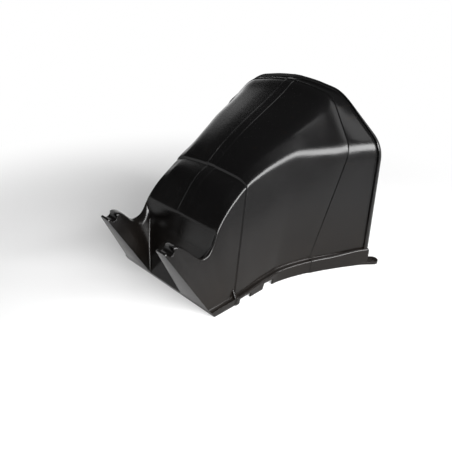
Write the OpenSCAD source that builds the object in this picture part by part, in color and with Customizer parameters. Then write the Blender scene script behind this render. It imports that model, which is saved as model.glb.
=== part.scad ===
// Discharge deflector hood of a ride-on mower: a thin-walled, one-piece moulding, open below and behind.
// X is the width, Y runs from the front edge back to the arched opening, Z is up.
// The origin lies on the ground, in the middle of the front edge.

/* [Hood] */
// Length on the ground from the front edge to the arched opening
hood_l = 430; // [390:5:470]
// Height of the roof at the arched opening
hood_h = 418; // [380:2:450]
// Width over the side walls at the front edge
front_w = 316; // [290:2:340]
// Width over the side walls at the waist
waist_w = 302; // [280:2:330]
// Width over the side walls at the arched opening
rear_w = 500; // [450:2:530]
// Height of the arched opening's shoulder, below its slanted corner
rear_shoulder_h = 304; // [270:2:330]
// Width of the roof between the slanted corners
roof_w = 262; // [220:2:290]
// Slope of the roof, in degrees
roof_slope = 30.5; // [28:0.5:33]
// Fall of the roof from its middle to its corners
roof_crown = 17; // [8:1:24]
// Thickness of the moulded wall
wall_t = 3; // [2.4:0.2:4]

/* [Waist] */
// Width between the shoulders at the front ring
waist_shoulder_w = 238; // [220:2:250]
// Height of the shoulders at the front ring
waist_shoulder_h = 250; // [235:1:262]
// Place on the ground where the side walls start to flare
flare_y = 190; // [170:5:210]

/* [Horns] */
// Height of each horn's rear prong
horn_h = 176; // [166:1:184]
// Height of each horn's front prong
horn_front_h = 168; // [158:1:174]
// Width of a horn at its tip
horn_tip_w = 30; // [24:1:34]
// Forward lean of the horns' front faces, in degrees
horn_lean = 27.7; // [22:0.1:30]
// Height of the saddle between a horn and the shoulder behind it
saddle_h = 130; // [122:1:140]
// Diameter of the cradle across each horn for the support tube
cradle_d = 19; // [16:0.5:22]

/* [Recess] */
// Width of the recess between the horns at the ground
recess_w = 118; // [90:2:130]
// Height of the sill in front of the recess
sill_h = 11.5; // [8:0.5:14]
// Height of the fold where the recess turns up into the nose
fold_h = 117; // [105:1:122]
// Width of the recess at that fold
fold_w = 224; // [200:2:228]
// Place of the fold, behind the front edge
fold_y = 39; // [34:1:44]

/* [Rings] */
// Place on the ground of the front ring, a step round the hood
ring_a_y = 60; // [56:1:68]
// Backward lean of the front ring, in degrees
ring_a_lean = 17.2; // [16:0.2:18]
// Place on the ground of the rear ring
ring_b_y = 288; // [260:2:310]
// Backward lean of the rear ring, in degrees
ring_b_lean = 15.2; // [13:0.2:16]
// Height of the step at the front ring
ring_a_step = 3; // [1:0.5:4]
// Height of the step at the rear ring
ring_b_step = 2; // [1:0.5:4]
// Width of the flat strip along the middle of the roof
strip_w = 26; // [16:1:40]
// Height of that strip over the roof
strip_t = 1.2; // [0.6:0.2:2]

/* [Skirt] */
// Height of the skirt along the foot of the side walls
skirt_h = 25; // [18:1:30]
// Height of the skirt at its front end
skirt_front_h = 13; // [10:1:18]
// How far the skirt stands out from the side walls
skirt_out = 10; // [7:0.5:13]
// Depth of the notches in the foot of the skirt
notch_h = 11; // [6:1:14]

/* [Rear lip] */
// How far the lip round the arched opening stands out
lip_out = 7; // [4:0.5:10]
// Length of the lip
lip_t = 6; // [4:0.5:10]
// Height at which the lip ends on each side
lip_foot = 43; // [38:1:60]

/* [Lugs] */
// Diameter of the bolt hole in each rear lug
lug_hole_d = 10; // [6:0.5:14]
// Radius of a lug's rounded end
lug_r = 15; // [12:0.5:20]
// Thickness of a lug
lug_t = 8; // [5:0.5:12]
// Distance of the bolt hole behind the arched opening
lug_reach = 17; // [12:1:26]

/* [Hidden] */

PLASTIC = [0.10, 0.10, 0.11];
EPS = 0.01;

// Cutting planes: each section of the hood lies in a plane that meets the ground at a place y
// and leans by a slope k. The planes fan out from the horns' front faces to the arched opening.
front_k = -tan(horn_lean);
ring_a_k = tan(ring_a_lean);
ring_b_k = tan(ring_b_lean);
function ramp(a, b, ka, kb, y) = ka + (kb - ka) * (y - a) / (b - a);
function plane_k(y) = y < ring_a_y ? ramp(0, ring_a_y, front_k, ring_a_k, y)
    : y < ring_b_y ? ramp(ring_a_y, ring_b_y, ring_a_k, ring_b_k, y)
    : ramp(ring_b_y, hood_l, ring_b_k, 0, y);

// The recess floor rises from the sill to the fold as one plane.
floor_slope = (fold_y + sill_h * -front_k) / (fold_h - sill_h);
function floor_z(y) = (y + sill_h * (floor_slope - front_k)) / (floor_slope - plane_k(y));
function recess_half(z) = recess_w / 2 + (z - sill_h) * (fold_w - recess_w) / 2 / (fold_h - sill_h);

// Place on the ground of the section that passes through a point (y, z) ahead of the front ring
fan_k = (ring_a_k - front_k) / ring_a_y;
function place(y, z) = (y - front_k * z) / (1 + fan_k * z);
prong_s = place(-58, horn_h);
saddle_s = place(0, saddle_h);
fold_s = place(fold_y, fold_h);
nose_h = 172;
nose_s = place(fold_y + 7, nose_h);
function front_part(f) = saddle_s + (ring_a_y - saddle_s) * f;

// Roof line: it passes through the top of the rear ring at the roof's slope.
roof_k = tan(roof_slope);
ring_b_top = ring_b_y + ring_b_k * hood_h;
function roof_z(y) = (hood_h - roof_k * (ring_b_top - y)) / (1 - roof_k * plane_k(y));

// A smooth curve through control points [place, value], with no overshoot
function gap(c, i) = c[i + 1][0] - c[i][0];
function rise(c, i) = (c[i + 1][1] - c[i][1]) / gap(c, i);
function mean_slope(a, b) = a * b <= 0 ? 0 : 2 * a * b / (a + b);
function slope(c, i) = i == 0 ? rise(c, 0)
    : i == len(c) - 1 ? rise(c, i - 1)
    : mean_slope(rise(c, i - 1), rise(c, i));
function hermite(a, b, sa, sb, w, t) = a * (1 + 2 * t) * (1 - t) * (1 - t) + b * t * t * (3 - 2 * t)
    + w * (sa * t * (1 - t) * (1 - t) - sb * t * t * (1 - t));
function seek(c, y, i = 0) = i >= len(c) - 2 || y < c[i + 1][0] ? i : seek(c, y, i + 1);
function curve(c, y) = let (i = seek(c, y), t = min(1, max(0, (y - c[i][0]) / gap(c, i))))
    hermite(c[i][1], c[i + 1][1], slope(c, i), slope(c, i + 1), gap(c, i), t);

// Side walls: half their width at the ground, and the shoulders that they end in
FLARE = 1.5;
FOOT_TUCK = 3;
function flare(y) = y <= flare_y ? 0 : pow((y - flare_y) / (hood_l - flare_y), FLARE);
function foot_x(y) = curve([[0, front_w / 2], [50, front_w / 2 - 1], [150, waist_w / 2], [hood_l, waist_w / 2]], y)
    + ((rear_w - waist_w) / 2 - FOOT_TUCK) * flare(y);
horn_x = front_w / 2 - 37;
waist_x = waist_shoulder_w / 2;
shoulder_x = [
    [0, horn_x], [prong_s, horn_x - 2], [saddle_s, horn_x + 12], [front_part(0.14), horn_x + 12],
    [front_part(0.27), horn_x + 9], [front_part(0.46), waist_x + 6], [front_part(0.66), waist_x + 5],
    [front_part(0.85), waist_x + 1], [ring_a_y, waist_x], [98, waist_x + 4], [137, waist_x + 14],
    [184, waist_x + 30], [246, waist_x + 67], [ring_b_y, waist_x + 94], [hood_l, rear_w / 2]
];
shoulder_z = [
    [0, horn_front_h], [prong_s, horn_h], [saddle_s, saddle_h], [front_part(0.14), saddle_h + 2],
    [front_part(0.27), saddle_h + 10], [front_part(0.46), waist_shoulder_h - 74],
    [front_part(0.66), waist_shoulder_h - 42], [front_part(0.85), waist_shoulder_h - 19],
    [ring_a_y, waist_shoulder_h], [98, waist_shoulder_h + 19], [137, waist_shoulder_h + 35],
    [184, waist_shoulder_h + 47], [246, rear_shoulder_h - 4], [ring_b_y, rear_shoulder_h - 2],
    [hood_l, rear_shoulder_h]
];

// Middle of the roof, the nose and the recess floor
mid_z = [
    [nose_s, nose_h], [front_part(0.55), 190], [front_part(0.66), 211], [front_part(0.82), 243],
    [ring_a_y + 4, roof_z(ring_a_y + 4)], [ring_b_y - 30, roof_z(ring_b_y - 30)], [ring_b_y, hood_h], [hood_l, hood_h]
];
function middle(y) = y <= fold_s ? floor_z(y)
    : y < nose_s ? fold_h + (nose_h - fold_h) * (y - fold_s) / (nose_s - fold_s)
    : curve(mid_z, y);
function crown(y) = curve([[0, 0], [nose_s, 0], [ring_a_y, 5], [ring_b_y, roof_crown], [hood_l, roof_crown]], y);

// Corner between the roof and the slanted side, which is the recess's corner between the horns
corner_x = [
    [fold_s, fold_w / 2], [nose_s, 102], [ring_a_y, waist_x - 24], [137, roof_w / 2 - 22],
    [184, roof_w / 2 - 9], [246, roof_w / 2 - 3], [ring_b_y, roof_w / 2], [hood_l, roof_w / 2]
];
function corner(y) = y <= fold_s ? [recess_half(floor_z(y)), middle(y)]
    : [curve(corner_x, y), middle(y) - crown(y)];

// Inner edge of a horn's top, which merges into the slanted side behind the nose
function shoulder(y) = [curve(shoulder_x, y), curve(shoulder_z, y)];
horn_edge_x = [[0, horn_x - horn_tip_w], [prong_s, horn_x - horn_tip_w], [saddle_s, fold_w / 2 - 4], [fold_s, fold_w / 2 + 3]];
horn_edge_z = [[0, horn_front_h - 1], [prong_s, horn_h - 1], [saddle_s, saddle_h - 12], [fold_s, fold_h + 20]];
function horn_edge(y) = y <= fold_s ? [curve(horn_edge_x, y), curve(horn_edge_z, y)]
    : let (m = (shoulder(y) + corner(y)) / 2)
      y < nose_s ? let (t = (y - fold_s) / (nose_s - fold_s))
          [curve(horn_edge_x, fold_s), curve(horn_edge_z, fold_s)] * (1 - t) + m * t
      : m;

// A rounded corner: n points along a quadratic curve that leaves b at the distance r on both sides
function toward(a, b, r) = a + (b - a) * min(0.46, r / norm(b - a));
function rounded(a, b, c, r, n) = let (p = toward(b, a, r), q = toward(b, c, r))
    [for (i = [0 : n - 1]) let (t = i / (n - 1)) p * (1 - t) * (1 - t) + 2 * b * t * (1 - t) + q * t * t];

// Radii along the hood
function shoulder_r(y) = curve([[0, 6], [nose_s, 9], [ring_a_y, 10], [184, 14], [ring_b_y, 24], [hood_l, 30]], y);
function corner_r(y) = curve([[0, 7], [fold_s, 9], [ring_a_y, 16], [184, 24], [ring_b_y, 40], [hood_l, 44]], y);
function edge_r(y) = curve([[0, 5], [fold_s, 9], [hood_l, 20]], y);

// Skirt
function skirt_top(y) = curve([[0, skirt_front_h], [60, skirt_front_h + 3], [110, skirt_h - 7], [200, skirt_h],
    [hood_l, skirt_h + 6]], y);
SKIRT_FILLET = 4;

// Rows of points up a side wall, as shares of its height, and numbers of points round each corner
WALL_ROWS = [0.05, 0.2, 0.4, 0.6, 0.8];
SHOULDER_POINTS = 5;
EDGE_POINTS = 3;
CORNER_POINTS = 5;

// Half of a section, from the foot of the skirt to the middle of the roof, as [x, z]
function roof_pt(y, f) = let (c = corner(y), m = middle(y)) [c[0] * f, m - (m - c[1]) * (0.25 * f + 0.75 * f * f)];
function half_section(y) = let (
        x = foot_x(y), top = skirt_top(y), s = shoulder(y), e = horn_edge(y), c = corner(y), m = middle(y),
        foot = [x, top + SKIRT_FILLET], r = shoulder_r(y),
        wall_end = toward(s, foot, r),
        strip = y < nose_s ? 0 : strip_t,
        half = strip_w / 2)
    concat(
        [[x + skirt_out, 0], [x + skirt_out, top - SKIRT_FILLET], [x + skirt_out - SKIRT_FILLET, top], foot],
        [for (t = WALL_ROWS) foot + (wall_end - foot) * t],
        rounded(foot, s, e, r, SHOULDER_POINTS),
        rounded(s, e, c, edge_r(y), EDGE_POINTS),
        rounded(e, c, roof_pt(y, 0.6), corner_r(y), CORNER_POINTS),
        [roof_pt(y, 0.42), [half + 1, roof_pt(y, (half + 1) / c[0])[1]], [half, m + strip], [0, m + strip]]
    );
function mirrored(h) = concat(h, [for (i = [len(h) - 2 : -1 : 0]) [-h[i][0], h[i][1]]]);
function section(y) = let (k = plane_k(y)) [for (p = mirrored(half_section(y))) [p[0], y + k * p[1], p[1]]];

// Places of the sections: close together where the form turns quickly or steps
STEP_RUN = 2.5;
LIP_FILLET = 3;
function spread(a, b, n) = [for (t = [0 : n - 1]) a + (b - a) * t / n];
stations = concat(
    spread(0, prong_s, 3), spread(prong_s, saddle_s, 5), spread(saddle_s, fold_s, 5),
    [fold_s, fold_s + 0.5, nose_s - 0.5], spread(nose_s, ring_a_y, 7),
    [ring_a_y], spread(ring_a_y + STEP_RUN, ring_b_y, 12),
    [ring_b_y], spread(ring_b_y + STEP_RUN, hood_l - lip_t - LIP_FILLET, 5),
    [hood_l - lip_t - LIP_FILLET, hood_l - lip_t - LIP_FILLET / 3, hood_l - lip_t, hood_l]
);
base = [for (y = stations) section(y)];
rows = len(stations);
cols = len(base[0]);

// Outward direction at each point of the grid
function unit(v) = v / norm(v);
function along(i, j) = base[min(rows - 1, i + 1)][j] - base[max(0, i - 1)][j];
function around(i, j) = base[i][min(cols - 1, j + 1)] - base[i][max(0, j - 1)];
function outward(i, j) = unit(cross(along(i, j), around(i, j)));

// How far the surface stands proud of the plain form: the rings' steps and the lip
function steps(y) = (y > ring_a_y ? ring_a_step : 0) + (y > ring_b_y ? ring_b_step : 0);
function lip(y, p) = p[2] < lip_foot || y < hood_l - lip_t - LIP_FILLET + EPS ? 0
    : y < hood_l - lip_t - EPS ? lip_out * 0.3
    : abs(p[0]) < strip_w / 2 + EPS ? lip_out - strip_t : lip_out;
front_normal = [0, cos(horn_lean), sin(horn_lean)];

// Points stay in the ground plane, in the plane of the opening and in the plane of the front faces.
function hold(i, j, p) = [p[0], i == rows - 1 ? hood_l : p[1], j == 0 || j == cols - 1 ? 0 : p[2]];
function front_shift(p, d) = p + [0, d / cos(horn_lean) - (p[1] - front_k * p[2]), 0];
function outer_pt(i, j) = let (y = stations[i], p = base[i][j], d = steps(y) + lip(y, p),
        q = hold(i, j, p + outward(i, j) * d))
    i == 0 ? front_shift(q, 0) : q;

// The tip of each horn is solid down to a floor below the cradle.
cradle_y = -72;
cradle_z = horn_front_h + 1;
tip_floor = cradle_z - cradle_d / 2 - 2 * wall_t;
TIP_SHARE = 0.15;
function under_tip(i, p) = p[2] < tip_floor || stations[i] >= saddle_s ? p
    : [p[0], p[1], tip_floor + TIP_SHARE * (p[2] - tip_floor)];
function inner_pt(i, j) = let (p = base[i][j], q = hold(i, j, p + outward(i, j) * (steps(stations[i]) - wall_t)))
    i == 0 ? front_shift(under_tip(i, q), wall_t) : under_tip(i, q);

// Triangles between two chains of points that both climb, from a[i] and b[j] to their last points
function climb(z, a, b, i = 0, j = 0) = i == len(a) - 1 && j == len(b) - 1 ? []
    : j == len(b) - 1 || (i < len(a) - 1 && z[a[i + 1]] <= z[b[j + 1]])
        ? concat([[a[i], a[i + 1], b[j]]], climb(z, a, b, i + 1, j))
        : concat([[a[i], b[j + 1], b[j]]], climb(z, a, b, i, j + 1));
function flip(faces) = [for (f = faces) [f[2], f[1], f[0]]];

// The front face inside the grid's first row of points: a horn on each side and the sill between them
horn_top = 3 + len(WALL_ROWS) + SHOULDER_POINTS;
horn_foot = horn_top + EDGE_POINTS + CORNER_POINTS;
function front_face(z, e) = let (
        horn = climb(z, [for (j = [0 : horn_top]) j], [for (j = [horn_foot : -1 : horn_top + 1]) j]))
    concat(
        horn,
        [for (j = [horn_foot : e - horn_foot - 1]) [0, j, j + 1]],
        [[0, e - horn_foot, e]],
        flip([for (f = horn) [e - f[0], e - f[1], e - f[2]]])
    );

// The hood is one closed skin: outside, inside, the edges at the ground and the edge of the opening.
module hood_shell() {
    n = rows * cols;
    outer = [for (i = [0 : rows - 1]) for (j = [0 : cols - 1]) outer_pt(i, j)];
    inner = [for (i = [0 : rows - 1]) for (j = [0 : cols - 1]) inner_pt(i, j)];
    function at(i, j) = i * cols + j;
    skin = [for (i = [0 : rows - 2]) for (j = [0 : cols - 2]) each [
        [at(i, j), at(i + 1, j + 1), at(i + 1, j)], [at(i, j), at(i, j + 1), at(i + 1, j + 1)]
    ]];
    lining = [for (f = flip(skin)) f + [n, n, n]];
    last = rows - 1;
    end = cols - 1;
    front = flip(front_face([for (j = [0 : end]) outer[j][2]], end));
    front_lining = [for (f = front_face([for (j = [0 : end]) inner[j][2]], end)) f + [n, n, n]];
    sill = [[at(0, 0) + n, at(0, end) + n, at(0, end), at(0, 0)]];
    feet = [for (i = [0 : last - 1]) each [
        [at(i, 0), at(i + 1, 0), at(i + 1, 0) + n, at(i, 0) + n],
        [at(i, end) + n, at(i + 1, end) + n, at(i + 1, end), at(i, end)]
    ]];
    rear = [for (j = [0 : end - 1]) [at(last, j + 1), at(last, j + 1) + n, at(last, j) + n, at(last, j)]];
    polyhedron(points = concat(outer, inner), faces = concat(skin, lining, front, front_lining, sill, feet, rear), convexity = 8);
}

// A flat lug with a bolt hole, at the rear foot of one side wall
module lug() {
    x0 = foot_x(hood_l) + skirt_out;
    cx = x0 + lug_r - skirt_out;
    cy = hood_l + lug_reach;
    seat = [for (t = [0 : 4]) let (y = hood_l - 40 + 10 * t) [foot_x(y) + skirt_out - 1.5, y]];
    difference() {
        linear_extrude(lug_t) union() {
            translate([cx, cy]) circle(r = lug_r, $fn = 48);
            polygon(concat(seat, [[cx - lug_r, hood_l], [cx - lug_r, cy], [cx, cy], [cx + lug_r * 0.94, cy - lug_r * 0.34]]));
        }
        translate([cx, cy, -1]) cylinder(d = lug_hole_d, h = lug_t + 2, $fn = 48);
    }
}

// Openings cut from the shell: the tube cradles across the horns and the notches in the foot of the skirt
module cradle() {
    translate([horn_x - horn_tip_w / 2, cradle_y, cradle_z]) rotate([0, 90, 0])
        cylinder(d = cradle_d, h = horn_tip_w + 30, center = true, $fn = 48);
}
module skirt_notch(y, l, h) {
    translate([foot_x(y) + 1, y, -1]) cube([skirt_out * 2, l, h + 1]);
}

module deflector_hood() {
    color(PLASTIC) difference() {
        union() {
            hood_shell();
            lug();
            mirror([1, 0, 0]) lug();
        }
        for (side = [0, 1]) mirror([side, 0, 0]) {
            cradle();
            skirt_notch(ring_a_y + 12, 40, notch_h);
            skirt_notch(ring_a_y + 92, 34, notch_h + 3);
        }
    }
}

deflector_hood();
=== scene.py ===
"""Looks of a deflector hood for a mower deck: one thin-walled plastic moulding, open below and behind.

Sizes are in millimetres inside the classes and in metres in the meshes. X is the width, Y runs from the front edge
back to the arched opening and Z is up, as in the CAD frame.
"""

import logging
import math
from dataclasses import dataclass, field
from enum import Enum
from typing import Sequence

import bmesh
import bpy
from mathutils import Matrix, Vector


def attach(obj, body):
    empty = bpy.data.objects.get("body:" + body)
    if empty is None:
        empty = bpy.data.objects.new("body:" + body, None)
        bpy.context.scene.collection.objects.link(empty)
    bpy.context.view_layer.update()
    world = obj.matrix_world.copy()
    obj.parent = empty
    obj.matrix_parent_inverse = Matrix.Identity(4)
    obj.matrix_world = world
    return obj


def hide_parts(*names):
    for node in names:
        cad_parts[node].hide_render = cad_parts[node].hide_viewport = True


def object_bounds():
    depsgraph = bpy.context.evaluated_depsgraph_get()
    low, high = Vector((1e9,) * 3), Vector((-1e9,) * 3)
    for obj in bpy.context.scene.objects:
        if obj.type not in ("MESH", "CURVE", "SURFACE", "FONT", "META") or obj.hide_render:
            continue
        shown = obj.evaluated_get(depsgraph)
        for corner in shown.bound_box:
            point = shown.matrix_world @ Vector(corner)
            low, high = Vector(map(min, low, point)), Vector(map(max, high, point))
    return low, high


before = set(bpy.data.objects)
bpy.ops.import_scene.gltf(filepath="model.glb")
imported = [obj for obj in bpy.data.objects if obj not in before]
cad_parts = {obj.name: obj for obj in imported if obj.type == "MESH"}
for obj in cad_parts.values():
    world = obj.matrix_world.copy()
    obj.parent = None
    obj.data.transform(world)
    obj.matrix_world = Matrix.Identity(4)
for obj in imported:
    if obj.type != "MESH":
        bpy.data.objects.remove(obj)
CAD_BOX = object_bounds()

LOG = logging.getLogger("hood")
MM = 0.001
Point = tuple[float, float]


def smoothstep(low: float, high: float, value: float) -> float:
    """Return a smooth ramp from 0 at low to 1 at high."""
    t = min(1.0, max(0.0, (value - low) / (high - low)))
    return t * t * (3.0 - 2.0 * t)


def mix(a: Sequence[float], b: Sequence[float], share: float) -> tuple[float, ...]:
    """Return the point at a share of the way from a to b."""
    return tuple(p + (q - p) * share for p, q in zip(a, b))


@dataclass(frozen=True)
class Profile:
    """A smooth curve through control points, with no overshoot between them.

    Attributes:
        points: Control points as (place, value), in order of place.
        blur: Half-width over which the curve is averaged, which softens its changes of slope.
    """

    points: tuple[Point, ...]
    blur: float = 0.0

    def _slope(self, i: int) -> float:
        """Return the slope at a control point: a harmonic mean of the rises on its two sides."""
        p = self.points
        rises = [(p[k + 1][1] - p[k][1]) / (p[k + 1][0] - p[k][0]) for k in (i - 1, i) if 0 <= k < len(p) - 1]
        if len(rises) == 1:
            return rises[0]
        a, b = rises
        return 0.0 if a * b <= 0 else 2 * a * b / (a + b)

    def _plain(self, place: float) -> float:
        """Return the curve's value without the blur."""
        p = self.points
        i = 0
        while i < len(p) - 2 and place >= p[i + 1][0]:
            i += 1
        width = p[i + 1][0] - p[i][0]
        t = min(1.0, max(0.0, (place - p[i][0]) / width))
        return (
            p[i][1] * (1 + 2 * t) * (1 - t) ** 2
            + p[i + 1][1] * t * t * (3 - 2 * t)
            + width * (self._slope(i) * t * (1 - t) ** 2 - self._slope(i + 1) * t * t * (1 - t))
        )

    def at(self, place: float) -> float:
        """Return the curve's value.

        Args:
            place: Where on the curve, in the units of its control points.

        Returns:
            The blurred value, which is the plain one at both ends.
        """
        reach = min(self.blur, place - self.points[0][0], self.points[-1][0] - place)
        if reach <= 0:
            return self._plain(place)
        weights = ((-1.0, 1), (-0.66, 3), (-0.33, 5), (0.0, 6), (0.33, 5), (0.66, 3), (1.0, 1))
        return sum(w * self._plain(place + k * reach) for k, w in weights) / 24.0


@dataclass
class HoodSizes:
    """Sizes of the moulding in millimetres, as in the CAD source."""

    length: float = 430.0
    height: float = 418.0
    front_w: float = 316.0
    waist_w: float = 302.0
    rear_w: float = 500.0
    rear_shoulder_h: float = 304.0
    roof_w: float = 262.0
    roof_slope: float = 30.5
    roof_crown: float = 17.0
    wall: float = 3.0
    waist_shoulder_w: float = 238.0
    waist_shoulder_h: float = 250.0
    flare_y: float = 190.0
    horn_h: float = 176.0
    horn_front_h: float = 168.0
    horn_tip_w: float = 30.0
    horn_lean: float = 27.7
    saddle_h: float = 130.0
    cradle_r: float = 9.5
    cradle_y: float = -72.0
    recess_w: float = 118.0
    sill_h: float = 11.5
    fold_h: float = 117.0
    fold_w: float = 224.0
    fold_y: float = 39.0
    nose_h: float = 172.0
    ring_a_y: float = 60.0
    ring_a_lean: float = 17.2
    ring_b_y: float = 288.0
    ring_b_lean: float = 15.2
    ring_a_step: float = 3.0
    ring_b_step: float = 2.0
    strip_w: float = 26.0
    strip_t: float = 1.2
    skirt_h: float = 25.0
    skirt_front_h: float = 13.0
    skirt_out: float = 10.0
    skirt_fillet: float = 4.0
    notch_h: float = 11.0
    fin_h: float = 8.5
    fin_t: float = 2.4
    fin_y: float = 335.0
    lip_out: float = 7.0
    lip_t: float = 6.0
    lip_foot: float = 43.0
    foot_tuck: float = 3.0
    lug_hole_r: float = 5.0
    lug_r: float = 15.0
    lug_t: float = 8.0
    lug_reach: float = 17.0


@dataclass
class HoodForm:
    """The hood's surface as sections in planes that fan out from the horns' front faces to the arched opening."""

    z: HoodSizes = field(default_factory=HoodSizes)

    def __post_init__(self) -> None:
        """Work out the profiles that run along the hood."""
        z = self.z
        self.front_k = -math.tan(math.radians(z.horn_lean))
        self.ring_a_k = math.tan(math.radians(z.ring_a_lean))
        self.ring_b_k = math.tan(math.radians(z.ring_b_lean))
        self.fan_k = (self.ring_a_k - self.front_k) / z.ring_a_y
        self.floor_slope = (z.fold_y - z.sill_h * self.front_k) / (z.fold_h - z.sill_h)
        self.prong_s = self.place(-58.0, z.horn_h)
        self.saddle_s = self.place(0.0, z.saddle_h)
        self.fold_s = self.place(z.fold_y, z.fold_h)
        self.nose_s = self.place(z.fold_y + 7.0, z.nose_h)
        self.roof_k = math.tan(math.radians(z.roof_slope))
        self.ring_b_top = z.ring_b_y + self.ring_b_k * z.height
        self.cradle_z = z.horn_front_h + 1.0
        horn, waist, rear = z.front_w / 2 - 37.0, z.waist_shoulder_w / 2, z.rear_w / 2
        part = self._front_part
        self.wall_foot = Profile(
            ((0, z.front_w / 2), (50, z.front_w / 2 - 1), (150, z.waist_w / 2), (z.length, z.waist_w / 2)), 12
        )
        self.shoulder_x = Profile((
            (0, horn), (self.prong_s, horn - 2), (self.saddle_s, horn + 12), (part(0.14), horn + 12),
            (part(0.27), horn + 9), (part(0.46), waist + 6), (part(0.66), waist + 5), (part(0.85), waist + 1),
            (z.ring_a_y, waist), (98, waist + 4), (137, waist + 14), (184, waist + 30), (246, waist + 67),
            (z.ring_b_y, waist + 94), (z.length, rear),
        ), 10)
        self.shoulder_z = Profile((
            (0, z.horn_front_h), (self.prong_s, z.horn_h), (self.saddle_s, z.saddle_h),
            (part(0.14), z.saddle_h + 2), (part(0.27), z.saddle_h + 10), (part(0.46), z.waist_shoulder_h - 74),
            (part(0.66), z.waist_shoulder_h - 42), (part(0.85), z.waist_shoulder_h - 19),
            (z.ring_a_y, z.waist_shoulder_h), (98, z.waist_shoulder_h + 19), (137, z.waist_shoulder_h + 35),
            (184, z.waist_shoulder_h + 47), (246, z.rear_shoulder_h - 4), (z.ring_b_y, z.rear_shoulder_h - 2),
            (z.length, z.rear_shoulder_h),
        ), 3)
        self.roof_mid = Profile((
            (self.nose_s, z.nose_h), (part(0.55), 190), (part(0.66), 211), (part(0.82), 243),
            (z.ring_a_y + 4, self.roof_z(z.ring_a_y + 4)), (z.ring_b_y - 30, self.roof_z(z.ring_b_y - 30)),
            (z.ring_b_y, z.height), (z.length, z.height),
        ), 3)
        self.crown = Profile(
            ((0, 0), (self.nose_s, 0), (z.ring_a_y, 5), (z.ring_b_y, z.roof_crown), (z.length, z.roof_crown)), 8
        )
        self.corner_x = Profile((
            (self.fold_s, z.fold_w / 2), (self.nose_s, 102), (z.ring_a_y, waist - 24), (137, z.roof_w / 2 - 22),
            (184, z.roof_w / 2 - 9), (246, z.roof_w / 2 - 3), (z.ring_b_y, z.roof_w / 2), (z.length, z.roof_w / 2),
        ), 6)
        tip = horn - z.horn_tip_w
        self.edge_x = Profile(
            ((0, tip), (self.prong_s, tip), (self.saddle_s, z.fold_w / 2 - 4), (self.fold_s, z.fold_w / 2 + 3)), 2
        )
        self.edge_z = Profile((
            (0, z.horn_front_h - 1), (self.prong_s, z.horn_h - 1), (self.saddle_s, z.saddle_h - 12),
            (self.fold_s, z.fold_h + 20),
        ), 2)
        self.shoulder_r = Profile(
            ((0, 6), (self.nose_s, 9), (z.ring_a_y, 10), (184, 14), (z.ring_b_y, 24), (z.length, 30)), 8
        )
        self.corner_r = Profile(
            ((0, 7), (self.fold_s, 9), (z.ring_a_y, 16), (184, 24), (z.ring_b_y, 40), (z.length, 44)), 8
        )
        self.edge_r = Profile(((0, 5), (self.fold_s, 9), (z.length, 20)), 4)
        self.skirt_top = Profile((
            (0, z.skirt_front_h), (60, z.skirt_front_h + 3), (110, z.skirt_h - 7), (200, z.skirt_h),
            (z.length, z.skirt_h + 6),
        ), 10)

    def _front_part(self, share: float) -> float:
        """Return a place between the saddle and the front ring."""
        return self.saddle_s + (self.z.ring_a_y - self.saddle_s) * share

    def place(self, y: float, height: float) -> float:
        """Return where on the ground the section through (y, height) starts, ahead of the front ring."""
        return (y - self.front_k * height) / (1 + self.fan_k * height)

    def plane_k(self, s: float) -> float:
        """Return the lean of the section plane that starts at s on the ground."""
        z = self.z
        if s < z.ring_a_y:
            return self.front_k + self.fan_k * s
        if s < z.ring_b_y:
            return self.ring_a_k + (self.ring_b_k - self.ring_a_k) * (s - z.ring_a_y) / (z.ring_b_y - z.ring_a_y)
        return self.ring_b_k * (z.length - s) / (z.length - z.ring_b_y)

    def roof_z(self, s: float) -> float:
        """Return the height at which the straight roof line meets the section plane at s."""
        return (self.z.height - self.roof_k * (self.ring_b_top - s)) / (1 - self.roof_k * self.plane_k(s))

    def foot_x(self, s: float) -> float:
        """Return half the width over the side walls at the ground."""
        z = self.z
        flare = 0.0 if s <= z.flare_y else ((s - z.flare_y) / (z.length - z.flare_y)) ** 1.5
        return self.wall_foot.at(s) + ((z.rear_w - z.waist_w) / 2 - z.foot_tuck) * flare

    def middle(self, s: float) -> float:
        """Return the height of the middle line: recess floor, nose, then roof."""
        z = self.z
        if s <= self.fold_s:
            return (s + z.sill_h * (self.floor_slope - self.front_k)) / (self.floor_slope - self.plane_k(s))
        if s < self.nose_s:
            return z.fold_h + (z.nose_h - z.fold_h) * (s - self.fold_s) / (self.nose_s - self.fold_s)
        return self.roof_mid.at(s)

    def corner(self, s: float) -> Point:
        """Return the corner between the roof, or the recess floor, and what rises beside it."""
        z, mid = self.z, self.middle(s)
        if s <= self.fold_s:
            return z.recess_w / 2 + (mid - z.sill_h) * (z.fold_w - z.recess_w) / 2 / (z.fold_h - z.sill_h), mid
        return self.corner_x.at(s), mid - self.crown.at(s)

    def cradle_cut(self, s: float) -> float:
        """Return the height at which the section line at s runs into the tube's cradle, or a great height."""
        z, k = self.z, self.plane_k(s)
        a = 1 + k * k
        b = 2 * (k * (s - z.cradle_y) - self.cradle_z)
        c = (s - z.cradle_y) ** 2 + self.cradle_z**2 - z.cradle_r**2
        d = b * b - 4 * a * c
        return 1e6 if d <= 0 else (-b - math.sqrt(d)) / (2 * a)

    def shoulder(self, s: float) -> Point:
        """Return the top of the side wall."""
        return self.shoulder_x.at(s), self.shoulder_z.at(s)

    def horn_edge(self, s: float) -> Point:
        """Return the inner edge of a horn's top, which merges into the slanted side behind the nose."""
        if s <= self.fold_s:
            return self.edge_x.at(s), self.edge_z.at(s)
        middle = mix(self.shoulder(s), self.corner(s), 0.5)
        if s >= self.nose_s:
            return middle
        start = (self.edge_x.at(self.fold_s), self.edge_z.at(self.fold_s))
        return mix(start, middle, (s - self.fold_s) / (self.nose_s - self.fold_s))

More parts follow.
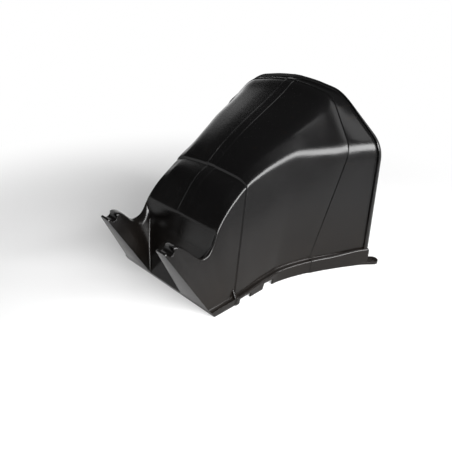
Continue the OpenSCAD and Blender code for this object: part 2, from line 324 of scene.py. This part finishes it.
    @staticmethod
    def rounded(a: Point, b: Point, c: Point, radius: float, count: int) -> list[Point]:
        """Return points round the corner b on a quadratic curve.

        Args:
            a: The point before the corner.
            b: The corner.
            c: The point after it.
            radius: Distance from the corner at which the curve starts and ends.
            count: How many points.

        Returns:
            The points from a's side to c's side.
        """
        p = mix(b, a, min(0.46, radius / math.dist(a, b)))
        q = mix(b, c, min(0.46, radius / math.dist(b, c)))
        ts = [i / (count - 1) for i in range(count)]
        return [
            tuple(u * (1 - t) ** 2 + 2 * v * t * (1 - t) + w * t * t for u, v, w in zip(p, b, q)) for t in ts
        ]

    WALL_SHARES = (0.012, 0.03, 0.045, 0.06, 0.075, 0.09, 0.11, 0.135) + tuple(0.165 + 0.035 * i for i in range(24))
    SHOULDER_POINTS = 13
    EDGE_POINTS = 7
    CORNER_POINTS = 13
    ROOF_SHARES = (0.2, 0.4, 0.6, 0.8, 0.95)
    STRIP_POINTS = 7

    def hem(self, s: float, plain: bool) -> list[Point]:
        """Return the skirt's section as (x, z), from its foot over the ledge to the wall.

        Args:
            s: Where the section's plane meets the ground.
            plain: Whether to leave out the fin that stands along the ledge, as the lining does.

        Returns:
            The same number of points with and without the fin.
        """
        z = self.z
        x, top, low = self.foot_x(s), self.skirt_top.at(s), self.foot_z(s)
        out = x + z.skirt_out
        foot = [(out - 0.7, low), (out - 0.2, low + 0.2), (out, low + 0.7), (out, (low + top - z.skirt_fillet) / 2)]
        fillet = self.rounded((out - 3.4, top), (x, top + 3.0), (x - 0.5, top + 12), 3.5, 6)
        if plain:
            return foot + self.rounded((out, low + 0.8), (out, top - 1.0), (x + 2, top + 2.0), 3.2, 11) + fillet
        rise, r = z.fin_h * smoothstep(z.fin_y, z.length - 6.0, s) - 0.9, z.fin_t / 2
        over = [
            (out - r + r * math.cos(math.pi * i / 6), top + rise + r * math.sin(math.pi * i / 6)) for i in range(7)
        ]
        inner = [(out - z.fin_t, top + rise * 0.6 + 0.1), (out - z.fin_t - 0.1, top + 0.25 + rise * 0.15)]
        return [*foot, (out, top + rise - 1.6), *over, *inner, (out - z.fin_t - 0.6, top), *fillet]

    def half_section(self, s: float, plain: bool = False) -> list[Point]:
        """Return one half of a section as (x, z), from the foot of the skirt to the middle of the roof.

        Args:
            s: Where the section's plane meets the ground.
            plain: Whether to leave out the fin along the ledge.

        Returns:
            The same number of points for every s.
        """
        z = self.z
        x, top, mid = self.foot_x(s), self.skirt_top.at(s), self.middle(s)
        shoulder, edge, corner = self.shoulder(s), self.horn_edge(s), self.corner(s)
        foot = (x, top + z.skirt_fillet)
        r, edge_r = self.shoulder_r.at(s), self.edge_r.at(s)
        cut = self.cradle_cut(s)
        if cut < shoulder[1]:
            sink = smoothstep(0.0, 2.0, shoulder[1] - cut)
            shoulder = mix(foot, shoulder, (cut - foot[1]) / (shoulder[1] - foot[1]))
            edge = mix(corner, edge, (cut - corner[1]) / (edge[1] - corner[1])) if cut < edge[1] else edge
            r, edge_r = r + (1.2 - r) * sink, edge_r + (1.2 - edge_r) * sink
        wall_end = mix(shoulder, foot, min(0.46, r / math.dist(shoulder, foot)))
        half = z.strip_w / 2
        strip = z.strip_t * smoothstep(self.nose_s - 1, self.nose_s + 5, s)

        def roof(share: float) -> Point:
            """Return a point of the roof at a share of its half-width."""
            return corner[0] * share, mid - (mid - corner[1]) * (0.25 * share + 0.75 * share * share)

        hem = self.hem(s, plain)
        foot_top = hem[-1]
        wall = [mix(foot_top, wall_end, share) for share in self.WALL_SHARES]
        strip_edge = [(half + 1.1, 0.0), (half + 0.5, 0.08), (half, 0.5), (half - 0.5, 0.92), (half - 1.1, 1.0)]
        edge_z = {dx: roof(dx / corner[0])[1] for dx, _ in strip_edge}
        near_strip = strip_edge[0][0] / corner[0]
        return [
            *hem,
            *wall,
            *self.rounded(foot, shoulder, edge, r, self.SHOULDER_POINTS),
            *self.rounded(shoulder, edge, corner, edge_r, self.EDGE_POINTS),
            *self.rounded(edge, corner, roof(0.6), self.corner_r.at(s), self.CORNER_POINTS),
            *[roof(0.6 + (near_strip - 0.6) * share) for share in self.ROOF_SHARES],
            *[(dx, edge_z[dx] * (1 - rise) + (mid + strip) * rise) for dx, rise in strip_edge],
            (half * 0.45, mid + strip),
            (0.0, mid + strip),
        ]

    def foot_z(self, s: float) -> float:
        """Return the height of the skirt's lower edge: the ground, or the top of a notch."""
        z = self.z
        first, second = z.ring_a_y + 12, z.ring_a_y + 92
        up = smoothstep(first - 0.5, first + 0.5, s) * (1 - smoothstep(first + 39.5, first + 40.5, s))
        up_b = smoothstep(second - 0.5, second + 0.5, s) * (1 - smoothstep(second + 33.5, second + 34.5, s))
        return z.notch_h * up + (z.notch_h + 3.0) * up_b

    def places(self) -> list[float]:
        """Return where the sections start on the ground: close together where the form turns quickly."""
        z = self.z

        def spread(a: float, b: float, n: int) -> list[float]:
            """Return n places from a up to, but without, b."""
            return [a + (b - a) * i / n for i in range(n)]

        rows = spread(0.0, self.prong_s + 4, 44) + spread(self.prong_s + 4, self.saddle_s, 10)
        rows += spread(self.saddle_s, self.fold_s, 14) + spread(self.fold_s, self.nose_s, 6)
        rows += spread(self.nose_s, z.ring_a_y - 0.3, 22) + spread(z.ring_a_y - 0.3, z.ring_a_y + 3.0, 8)
        rows += spread(z.ring_a_y + 3.0, z.ring_b_y - 0.3, 48) + spread(z.ring_b_y - 0.3, z.ring_b_y + 3.0, 8)
        rows += spread(z.ring_b_y + 3.0, z.length - 11.0, 14)
        rows += [z.length - t for t in (11.0, 9.5, 8.5, 7.5, 6.8, 6.4, 6.0, 5.6, 5.0, 3.5, 2.0, 1.0, 0.4, 0.0)]
        for start, run in ((z.ring_a_y + 12, 40.0), (z.ring_a_y + 92, 34.0)):
            for at in (start, start + run):
                rows += [at - 0.5, at - 0.2, at + 0.2, at + 0.5]
        rows.sort()
        kept = [rows[0]]
        for s in rows[1:]:
            if s - kept[-1] > 0.12:
                kept.append(s)
        return kept

    def step(self, s: float) -> float:
        """Return how far the two rings have stepped the surface out at s."""
        z = self.z
        return z.ring_a_step * smoothstep(z.ring_a_y, z.ring_a_y + 2.5, s) + z.ring_b_step * smoothstep(
            z.ring_b_y, z.ring_b_y + 2.5, s
        )

    def lip(self, s: float, height: float, x: float) -> float:
        """Return how far the lip round the opening stands out at a point."""
        z = self.z
        t = z.length - s
        ramp = Profile(((0, 6.2), (0.4, 6.8), (1.0, 7.0), (5.0, 7.0), (5.6, 6.6), (6.0, 5.6), (6.8, 2.6), (7.5, 1.2),
                        (8.5, 0.4), (9.5, 0.0)))
        rise = ramp.at(t) * z.lip_out / 7.0 if t < 9.5 else 0.0
        under = z.strip_t * (1 - smoothstep(z.strip_w / 2 - 1.1, z.strip_w / 2 + 1.1, abs(x)))
        rise = max(0.0, rise - under) if rise > under else 0.0
        return rise * smoothstep(z.lip_foot - 1.5, z.lip_foot + 2.5, height)

    def section(self, s: float, plain: bool = False) -> list[Vector]:
        """Return the points of a whole section in space, from the right foot over the roof to the left foot."""
        half = self.half_section(s, plain)
        k = self.plane_k(s)
        both = half + [(-x, h) for x, h in reversed(half[:-1])]
        return [Vector((x, s + k * h, h)) for x, h in both]


@dataclass
class HoodSkin:
    """The hood's wall as two grids, the outside and the lining, closed at the front plate, the feet and the rim."""

    form: HoodForm
    ROW_GAP = 0.08

    def __post_init__(self) -> None:
        """Work out the plain sections and the outward direction at each of their points."""
        self.places = self.form.places()
        self.base = [self.form.section(s) for s in self.places]
        self.out = self._directions(self.base)
        self.plain = [self.form.section(s, plain=True) for s in self.places]
        self.plain_out = self._directions(self.plain)

    @staticmethod
    def _directions(base: list[list[Vector]]) -> list[list[Vector]]:
        """Return the outward direction at each point of a grid of sections, as if the roof had no strip."""
        last, end = len(base) - 1, len(base[0]) - 1
        out: list[list[Vector]] = []
        for i, row in enumerate(base):
            before, after = base[max(0, i - 1)], base[min(last, i + 1)]
            normals = []
            for j in range(end + 1):
                along = after[j] - before[j]
                around = row[min(end, j + 1)] - row[max(0, j - 1)]
                normals.append(along.cross(around).normalized())
            middle = end // 2
            for side in (-1, 1):
                beside = normals[middle + side * HoodForm.STRIP_POINTS]
                for step in range(1, HoodForm.STRIP_POINTS):
                    share = step / HoodForm.STRIP_POINTS
                    normals[middle + side * step] = normals[middle].lerp(beside, share).normalized()
            out.append(normals)
        return out

    def _front(self, p: Vector, depth: float) -> Vector:
        """Return a point moved along Y to a depth behind the plane of the horns' front faces."""
        f = self.form
        return Vector((p.x, f.front_k * p.z + depth / math.cos(math.radians(f.z.horn_lean)), p.z))

    def outside(self) -> list[list[Vector]]:
        """Return the outer grid, with small rounded edges at the front plate and at the rim."""
        f, z = self.form, self.form.z
        top = CAD_BOX[1][2] / MM
        rows: list[list[Vector]] = []
        for inset, depth in ((1.0, 0.0), (0.45, 0.15), (0.15, 0.45)):
            row = []
            for j, p in enumerate(self.base[0]):
                q = self._front(p - self.out[0][j] * inset, depth)
                row.append(Vector((q.x, q.y, max(q.z, 0.0))))
            rows.append(row)
        for i, s in enumerate(self.places):
            row = []
            for j, p in enumerate(self.base[i]):
                grow = f.step(s) + f.lip(s, p.z, p.x)
                q = p + self.out[i][j] * grow
                if i == 0:
                    q = self._front(q, 1.0)
                if i == len(self.places) - 1:
                    q.y = z.length
                low = f.foot_z(s)
                if p.z <= low + 0.75:
                    q.z = p.z
                row.append(Vector((q.x, min(q.y, z.length), min(q.z, top))))
            rows.append(row)
        return rows

    def lining(self) -> list[list[Vector]]:
        """Return the inner grid, one wall thickness inside the outer one, with solid horn tips."""
        f, z = self.form, self.form.z
        tip_floor = f.cradle_z - z.cradle_r - 2 * z.wall
        rows: list[list[Vector]] = []
        extra = 3
        for i in [0] * extra + list(range(len(self.places))):
            s = self.places[i]
            row = []
            for j, p in enumerate(self.plain[i]):
                q = p + self.plain_out[i][j] * (f.step(s) - z.wall)
                if p.z <= f.foot_z(s) + 0.75:
                    q.z = p.z
                if s < f.saddle_s and q.z > tip_floor:
                    q.z = tip_floor + 0.12 * (q.z - tip_floor)
                least = z.wall + self.ROW_GAP * len(rows)
                depth = (q.y - f.front_k * q.z) * math.cos(math.radians(z.horn_lean))
                if i == 0 or depth < least:
                    q = self._front(q, least)
                if i == len(self.places) - 1:
                    q.y = z.length
                row.append(Vector((q.x, min(q.y, z.length), q.z)))
            rows.append(row)
        return rows

    @staticmethod
    def _grid(bm: bmesh.types.BMesh, rows: list[list[Vector]], inward: bool) -> list[list[bmesh.types.BMVert]]:
        """Add a grid and lay its points on rows.

        Args:
            bm: The mesh to add to.
            rows: Rows of points in millimetres.
            inward: Whether the faces look into the hood.

        Returns:
            The grid's vertices by row.
        """
        n, m = len(rows), len(rows[0])
        made = bmesh.ops.create_grid(bm, x_segments=m - 1, y_segments=n - 1, size=0.5)["verts"]
        grid: list[list[bmesh.types.BMVert]] = [[None] * m for _ in range(n)]
        for v in made:
            i, j = round((v.co.y + 0.5) * (n - 1)), round((v.co.x + 0.5) * (m - 1))
            grid[i][j] = v
        for i in range(n):
            for j in range(m):
                grid[i][j].co = rows[i][j] * MM
        faces = {face for row in grid for v in row for face in v.link_faces}
        sample = next(iter(grid[n // 2][m // 2].link_faces))
        sample.normal_update()
        looks_up = sample.normal.z > 0
        if looks_up == inward:
            bmesh.ops.reverse_faces(bm, faces=list(faces))
        return grid

    @staticmethod
    def _plate(bm: bmesh.types.BMesh, row: list[bmesh.types.BMVert]) -> None:
        """Close a row of vertices with one flat face, after joining its two ends along the ground."""
        bmesh.ops.contextual_create(bm, geom=[row[0], row[-1]])
        edges = [bm.edges.get((a, b)) for a, b in zip(row, row[1:] + row[:1])]
        bmesh.ops.contextual_create(bm, geom=edges)

    def build(self, bm: bmesh.types.BMesh) -> None:
        """Build the closed wall into a mesh."""
        outer = self._grid(bm, self.outside(), inward=False)
        inner = self._grid(bm, self.lining(), inward=True)
        self._plate(bm, outer[0])
        self._plate(bm, inner[0])
        bm.edges.ensure_lookup_table()
        open_edges = [e for e in bm.edges if e.is_boundary]
        bmesh.ops.bridge_loops(bm, edges=open_edges)
        bmesh.ops.recalc_face_normals(bm, faces=bm.faces)


@dataclass
class MountingLug:
    """A flat lug with a bolt hole at the rear foot of one side wall, its tongue running forward along the skirt."""

    form: HoodForm
    side: int = 1
    segments: int = 72
    tongue: float = 40.0
    edge_r: float = 0.9

    def _outline(self, bm: bmesh.types.BMesh) -> list[bmesh.types.BMVert]:
        """Draw the lug's outline: a disc whose front half is drawn out along the skirt."""
        f, z = self.form, self.form.z
        cx, cy = self.centre()
        rim = bmesh.ops.create_circle(
            bm, segments=self.segments, radius=z.lug_r * MM, matrix=Matrix.Translation(Vector((cx, cy, 0)) * MM)
        )["verts"]
        tip_y = z.length - self.tongue
        corners = (
            (180.0, cx - z.lug_r, cy),
            (210.0, cx - z.lug_r, z.length - 2.0),
            (235.0, f.foot_x(z.length - 20.0) + z.skirt_out - 5.0, z.length - 20.0),
            (260.0, f.foot_x(tip_y) + z.skirt_out - 1.5, tip_y),
            (340.0, cx + z.lug_r * 0.94, cy - z.lug_r * 0.34),
        )
        for v in rim:
            angle = math.degrees(math.atan2(v.co.y - cy * MM, v.co.x - cx * MM)) % 360
            for (a, ax, ay), (b, bx, by) in zip(corners, corners[1:]):
                if a <= angle < b:
                    share = (angle - a) / (b - a)
                    v.co.x, v.co.y = (ax + (bx - ax) * share) * MM, (ay + (by - ay) * share) * MM
        return rim

    def centre(self) -> Point:
        """Return where the bolt hole is."""
        z = self.form.z
        return self.form.foot_x(z.length) + z.lug_r, z.length + z.lug_reach

    def build(self, bm: bmesh.types.BMesh) -> None:
        """Build the lug into a mesh of its own.

        Args:
            bm: The empty mesh to build in.
        """
        z = self.form.z
        cx, cy = self.centre()
        rim = self._outline(bm)
        hole = bmesh.ops.create_circle(
            bm,
            segments=self.segments,
            radius=z.lug_hole_r * MM,
            matrix=Matrix.Translation(Vector((cx, cy, 0)) * MM),
        )["verts"]
        faces = bmesh.ops.bridge_loops(bm, edges=list(bm.edges))["faces"]
        raised = bmesh.ops.extrude_face_region(bm, geom=faces)["geom"]
        top = [g for g in raised if isinstance(g, bmesh.types.BMVert)]
        bmesh.ops.translate(bm, verts=top, vec=(0, 0, z.lug_t * MM))
        bmesh.ops.recalc_face_normals(bm, faces=bm.faces)
        sharp = [e for e in bm.edges if len(e.link_faces) == 2 and e.calc_face_angle(0) > 1.2]
        bmesh.ops.bevel(
            bm,
            geom=sharp,
            offset=self.edge_r * MM,
            segments=3,
            profile=0.5,
            affect="EDGES",
            material=-1,
            clamp_overlap=True,
        )
        if self.side < 0:
            bmesh.ops.scale(bm, vec=(-1, 1, 1), verts=bm.verts)
        bmesh.ops.recalc_face_normals(bm, faces=bm.faces)
        LOG.info("lug on side %d round %d rim points, %d hole points", self.side, len(rim), len(hole))


@dataclass
class RingGusset:
    """A small wedge where the front ring runs out on the ledge of the skirt."""

    form: HoodForm
    side: int = 1
    run: tuple[float, float] = (61.5, 71.5)
    rise: float = 19.0
    edge_r: float = 0.8

    def build(self, bm: bmesh.types.BMesh) -> None:
        """Build the wedge into a mesh of its own.

        Args:
            bm: The empty mesh to build in.
        """
        f, z = self.form, self.form.z
        bmesh.ops.create_cube(bm, size=1.0)
        front, back = self.run
        top = f.skirt_top.at(front)
        for v in bm.verts:
            y = front if v.co.y < 0 else back
            x = f.foot_x(y) + (z.skirt_out + 1.0 if v.co.x > 0 else -1.0)
            height = top + (self.rise if v.co.x < 0 else 1.5) if v.co.z > 0 else z.notch_h * 0.4
            narrow = 3.6 if v.co.x < 0 and v.co.z > 0 else 0.0
            y += narrow if v.co.y < 0 else -narrow
            v.co = Vector((x, y, height)) * MM
        bmesh.ops.recalc_face_normals(bm, faces=bm.faces)
        bmesh.ops.bevel(
            bm,
            geom=list(bm.edges),
            offset=self.edge_r * MM,
            segments=3,
            profile=0.5,
            affect="EDGES",
            material=-1,
            clamp_overlap=True,
        )
        if self.side < 0:
            bmesh.ops.scale(bm, vec=(-1, 1, 1), verts=bm.verts)
        bmesh.ops.recalc_face_normals(bm, faces=bm.faces)


class Finish(Enum):
    """Finishes of the moulding."""

    SATIN_BLACK = "hood_plastic"


@dataclass(frozen=True)
class MouldedPlastic:
    """Satin black moulded plastic: fine grain, faint flow marks, a soft sheen, scuffs, and painted floor light that
    makes the colour lighter and warmer near the ground.
    """

    name: str = "satin_black_plastic"
    clean: tuple[float, float, float] = (0.0030, 0.0029, 0.0030)
    # Colour of the scuffs, and of the painted floor light near the ground: lighter and warmer than the plain colour.
    scuff_and_bounce_colour: tuple[float, float, float] = (0.0066, 0.0049, 0.0036)
    # Height in metres below which the painted floor light shows.
    painted_bounce_top: float = 0.24
    roughness: float = 0.21
    specular: float = 0.21
    flow_scale: float = 11.0
    scuff_scale: tuple[float, float, float] = (30.0, 9.0, 160.0)
    scuff_share: float = 0.55
    grain_scale: float = 420.0
    grain_depth: float = 0.00012

    def make(self) -> bpy.types.Material:
        """Return the material, patterned on Object coordinates."""
        mat = bpy.data.materials.new(self.name)
        mat.use_nodes = True
        nodes, links = mat.node_tree.nodes, mat.node_tree.links
        nodes.clear()
        out = nodes.new("ShaderNodeOutputMaterial")
        shader = nodes.new("ShaderNodeBsdfPrincipled")
        shader.inputs["IOR"].default_value = 1.5
        shader.inputs["Specular IOR Level"].default_value = self.specular
        coord = nodes.new("ShaderNodeTexCoord").outputs["Object"]

        def noise(
            scale: float, detail: float, roughness: float, at: bpy.types.NodeSocket = coord
        ) -> bpy.types.NodeSocket:
            """Return a noise pattern, on the object's own coordinates unless others are given."""
            node = nodes.new("ShaderNodeTexNoise")
            node.inputs["Scale"].default_value = scale
            node.inputs["Detail"].default_value = detail
            node.inputs["Roughness"].default_value = roughness
            links.new(at, node.inputs["Vector"])
            return node.outputs["Fac"]

        def ranged(source: bpy.types.NodeSocket, before: Point, after: Point) -> bpy.types.NodeSocket:
            """Return a value moved from one range to another, smoothly and within it."""
            node = nodes.new("ShaderNodeMapRange")
            node.interpolation_type = "SMOOTHSTEP"
            node.inputs["From Min"].default_value, node.inputs["From Max"].default_value = before
            node.inputs["To Min"].default_value, node.inputs["To Max"].default_value = after
            links.new(source, node.inputs["Value"])
            return node.outputs["Result"]

        def times(a: bpy.types.NodeSocket, b: bpy.types.NodeSocket) -> bpy.types.NodeSocket:
            """Return the product of two values."""
            node = nodes.new("ShaderNodeMath")
            node.operation = "MULTIPLY"
            links.new(a, node.inputs[0])
            links.new(b, node.inputs[1])
            return node.outputs["Value"]

        flow = noise(self.flow_scale, 6.0, 0.6)
        speckle = noise(self.grain_scale, 3.0, 0.7)
        split = nodes.new("ShaderNodeSeparateXYZ")
        links.new(coord, split.inputs["Vector"])
        # Painted floor light: the colour turns lighter and warmer towards the ground, mottled by the flow and grain
        # noise. The scuffs below are wear.
        low = ranged(split.outputs["Z"], (0.0, self.painted_bounce_top), (1.0, 0.0))
        painted_bounce = times(times(low, ranged(flow, (0.25, 0.75), (0.55, 1.0))), ranged(speckle, (0.3, 0.7), (0.5, 1.0)))
        drawn_out = nodes.new("ShaderNodeMapping")
        drawn_out.inputs["Scale"].default_value = self.scuff_scale
        links.new(coord, drawn_out.inputs["Vector"])
        scuff = ranged(noise(1.0, 3.0, 0.6, drawn_out.outputs["Vector"]), (0.63, 0.74), (0.0, self.scuff_share))
        marks = nodes.new("ShaderNodeMath")
        marks.operation = "MAXIMUM"
        links.new(painted_bounce, marks.inputs[0])
        links.new(scuff, marks.inputs[1])
        shade = nodes.new("ShaderNodeMix")
        shade.data_type = "RGBA"
        shade.inputs["A"].default_value = (*self.clean, 1.0)
        shade.inputs["B"].default_value = (*self.scuff_and_bounce_colour, 1.0)
        links.new(marks.outputs["Value"], shade.inputs["Factor"])
        links.new(shade.outputs["Result"], shader.inputs["Base Color"])
        links.new(ranged(flow, (0.3, 0.7), (self.roughness - 0.03, self.roughness + 0.05)), shader.inputs["Roughness"])
        bump = nodes.new("ShaderNodeBump")
        bump.inputs["Strength"].default_value = 1.0
        bump.inputs["Distance"].default_value = self.grain_depth
        links.new(speckle, bump.inputs["Height"])
        links.new(bump.outputs["Normal"], shader.inputs["Normal"])
        links.new(shader.outputs["BSDF"], out.inputs["Surface"])
        return mat


@dataclass
class DeflectorHood:
    """The whole moulding: wall, lugs and their finish."""

    form: HoodForm
    plastic: MouldedPlastic = field(default_factory=MouldedPlastic)

    def build(self) -> bpy.types.Object:
        """Build the moulding as one object that stands for the CAD node.

        Returns:
            The object, riding on the CAD's body.
        """
        bm = bmesh.new()
        HoodSkin(self.form).build(bm)
        for piece in [kind(self.form, side) for kind in (MountingLug, RingGusset) for side in (1, -1)]:
            part = bmesh.new()
            piece.build(part)
            loose = bpy.data.meshes.new("joined")
            part.to_mesh(loose)
            part.free()
            bm.from_mesh(loose)
            bpy.data.meshes.remove(loose)
        mesh = bpy.data.meshes.new("hood_moulding")
        for face in bm.faces:
            face.smooth = len(face.verts) <= 4
        bm.to_mesh(mesh)
        bm.free()
        mesh.set_sharp_from_angle(angle=math.radians(32))
        obj = bpy.data.objects.new("hood_moulding", mesh)
        bpy.context.scene.collection.objects.link(obj)
        mesh.materials.append(self.plastic.make())
        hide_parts("deflector_hood")
        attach(obj, "root")
        return obj


@dataclass
class Studio:
    """Floor, world, lamps and camera."""

    lens: float = 525.0 / 452.0 * 36.0
    camera_at: tuple[float, float, float] = (0.860, -0.599, 0.683)
    azimuth: float = 47.57
    elevation: float = 26.87
    aim: tuple[float, float, float] = (0.0, 0.2, 0.16)
    floor_half: float = 40.0
    shadow_reach: tuple[float, float] = (0.55, 1.3)
    floor_glow: float = 0.35
    world_level: float = 0.05
    backdrop_top: tuple[float, float] = (0.2, 0.34)

    def floor(self) -> bpy.types.Object:
        """Lay a plain pale floor."""
        bm = bmesh.new()
        bmesh.ops.create_grid(bm, x_segments=1, y_segments=1, size=self.floor_half)
        mesh = bpy.data.meshes.new("floor")
        bm.to_mesh(mesh)
        bm.free()
        obj = bpy.data.objects.new("floor", mesh)
        bpy.context.scene.collection.objects.link(obj)
        mat = bpy.data.materials.new("floor_paper")
        mat.use_nodes = True
        nodes, links = mat.node_tree.nodes, mat.node_tree.links
        nodes.clear()
        out = nodes.new("ShaderNodeOutputMaterial")
        paper = nodes.new("ShaderNodeBsdfDiffuse")
        paper.inputs["Color"].default_value = (0.8, 0.8, 0.8, 1)
        white = nodes.new("ShaderNodeEmission")
        white.inputs["Strength"].default_value = 1.0
        path = nodes.new("ShaderNodeLightPath")
        seen = nodes.new("ShaderNodeMath")
        seen.operation = "MAXIMUM"
        links.new(path.outputs["Is Camera Ray"], seen.inputs[0])
        links.new(path.outputs["Is Glossy Ray"], seen.inputs[1])
        through = nodes.new("ShaderNodeMath")
        through.operation = "MAXIMUM"
        links.new(seen.outputs["Value"], through.inputs[0])
        links.new(path.outputs["Is Transmission Ray"], through.inputs[1])
        coord = nodes.new("ShaderNodeTexCoord")
        away = nodes.new("ShaderNodeVectorMath")
        away.operation = "LENGTH"
        links.new(coord.outputs["Object"], away.inputs[0])
        far = nodes.new("ShaderNodeMapRange")
        far.interpolation_type = "SMOOTHSTEP"
        far.inputs["From Min"].default_value = self.shadow_reach[0]
        far.inputs["From Max"].default_value = self.shadow_reach[1]
        far.inputs["To Min"].default_value = self.floor_glow
        far.inputs["To Max"].default_value = 1.0
        links.new(away.outputs["Value"], far.inputs["Value"])
        share = nodes.new("ShaderNodeMath")
        share.operation = "MULTIPLY"
        links.new(through.outputs["Value"], share.inputs[0])
        links.new(far.outputs["Result"], share.inputs[1])
        blend = nodes.new("ShaderNodeMixShader")
        links.new(share.outputs["Value"], blend.inputs["Fac"])
        links.new(paper.outputs["BSDF"], blend.inputs[1])
        links.new(white.outputs["Emission"], blend.inputs[2])
        links.new(blend.outputs["Shader"], out.inputs["Surface"])
        mesh.materials.append(mat)
        return obj

    def world(self) -> None:
        """Make a dim world with a white backdrop low down, which the camera and reflections see."""
        world = bpy.data.worlds.new("studio")
        bpy.context.scene.world = world
        world.use_nodes = True
        nodes, links = world.node_tree.nodes, world.node_tree.links
        nodes.clear()
        out = nodes.new("ShaderNodeOutputWorld")
        back = nodes.new("ShaderNodeBackground")
        back.inputs["Color"].default_value = (1, 1, 1, 1)
        path = nodes.new("ShaderNodeLightPath")
        direction = nodes.new("ShaderNodeTexCoord")
        split = nodes.new("ShaderNodeSeparateXYZ")
        links.new(direction.outputs["Generated"], split.inputs["Vector"])
        backdrop = nodes.new("ShaderNodeMapRange")
        backdrop.interpolation_type = "SMOOTHSTEP"
        backdrop.inputs["From Min"].default_value, backdrop.inputs["From Max"].default_value = self.backdrop_top
        backdrop.inputs["To Min"].default_value = 1.0
        backdrop.inputs["To Max"].default_value = 0.0
        links.new(split.outputs["Z"], backdrop.inputs["Value"])
        either = nodes.new("ShaderNodeMath")
        either.operation = "MAXIMUM"
        links.new(path.outputs["Is Camera Ray"], either.inputs[0])
        links.new(path.outputs["Is Glossy Ray"], either.inputs[1])
        through = nodes.new("ShaderNodeMath")
        through.operation = "MAXIMUM"
        links.new(either.outputs["Value"], through.inputs[0])
        links.new(path.outputs["Is Transmission Ray"], through.inputs[1])
        seen = nodes.new("ShaderNodeMath")
        seen.operation = "MULTIPLY"
        links.new(through.outputs["Value"], seen.inputs[0])
        links.new(backdrop.outputs["Result"], seen.inputs[1])
        level = nodes.new("ShaderNodeMapRange")
        level.inputs["To Min"].default_value = self.world_level
        level.inputs["To Max"].default_value = 1.0
        links.new(seen.outputs["Value"], level.inputs["Value"])
        links.new(level.outputs["Result"], back.inputs["Strength"])
        links.new(back.outputs["Background"], out.inputs["Surface"])

    def lamp(self, name: str, toward: Vector, distance: float, size: tuple[float, float], watts: float) -> None:
        """Hang a soft box that faces the object.

        Args:
            name: The lamp's name.
            toward: Direction from the object to the lamp.
            distance: How far away it hangs, in metres.
            size: Its width and height, in metres.
            watts: Its power.
        """
        data = bpy.data.lights.new(name, "AREA")
        data.shape = "RECTANGLE"
        data.size, data.size_y = size
        data.energy = watts
        obj = bpy.data.objects.new(name, data)
        aim = Vector(self.aim)
        obj.location = aim + toward.normalized() * distance
        obj.rotation_mode = "QUATERNION"
        obj.rotation_quaternion = toward.to_track_quat("Z", "Y")
        bpy.context.scene.collection.objects.link(obj)

    def camera(self) -> None:
        """Place the camera at the photograph's viewing angle."""
        data = bpy.data.cameras.new("camera")
        data.lens = self.lens
        data.sensor_width = 36.0
        data.clip_start, data.clip_end = 0.01, 50.0
        obj = bpy.data.objects.new("camera", data)
        a, e = math.radians(self.azimuth), math.radians(self.elevation)
        back = Vector((math.sin(a) * math.cos(e), -math.cos(a) * math.cos(e), math.sin(e)))
        obj.location = self.camera_at
        obj.rotation_mode = "QUATERNION"
        obj.rotation_quaternion = (-back).to_track_quat("-Z", "Y")
        bpy.context.scene.collection.objects.link(obj)
        bpy.context.scene.camera = obj

    def build(self) -> None:
        """Set the whole studio."""
        self.floor()
        self.world()
        self.lamp("right", Vector((0.87, -0.10, 0.43)), 1.6, (1.8, 0.5), 86.0)
        self.lamp("left_behind", Vector((-0.84, 0.36, 0.40)), 1.8, (1.0, 0.9), 3.0)
        self.lamp("overhead", Vector((0.48, 0.34, 0.81)), 1.9, (0.8, 1.0), 7.2)
        self.camera()
        bpy.context.scene.view_settings.view_transform = "Standard"


def main() -> None:
    """Build the studio and the hood."""
    logging.basicConfig(level=logging.INFO, format="%(message)s")
    Studio().build()
    hood = DeflectorHood(HoodForm()).build()
    LOG.info("%s: %d faces", hood.name, len(hood.data.polygons))


if __name__ == "__main__":
    main()
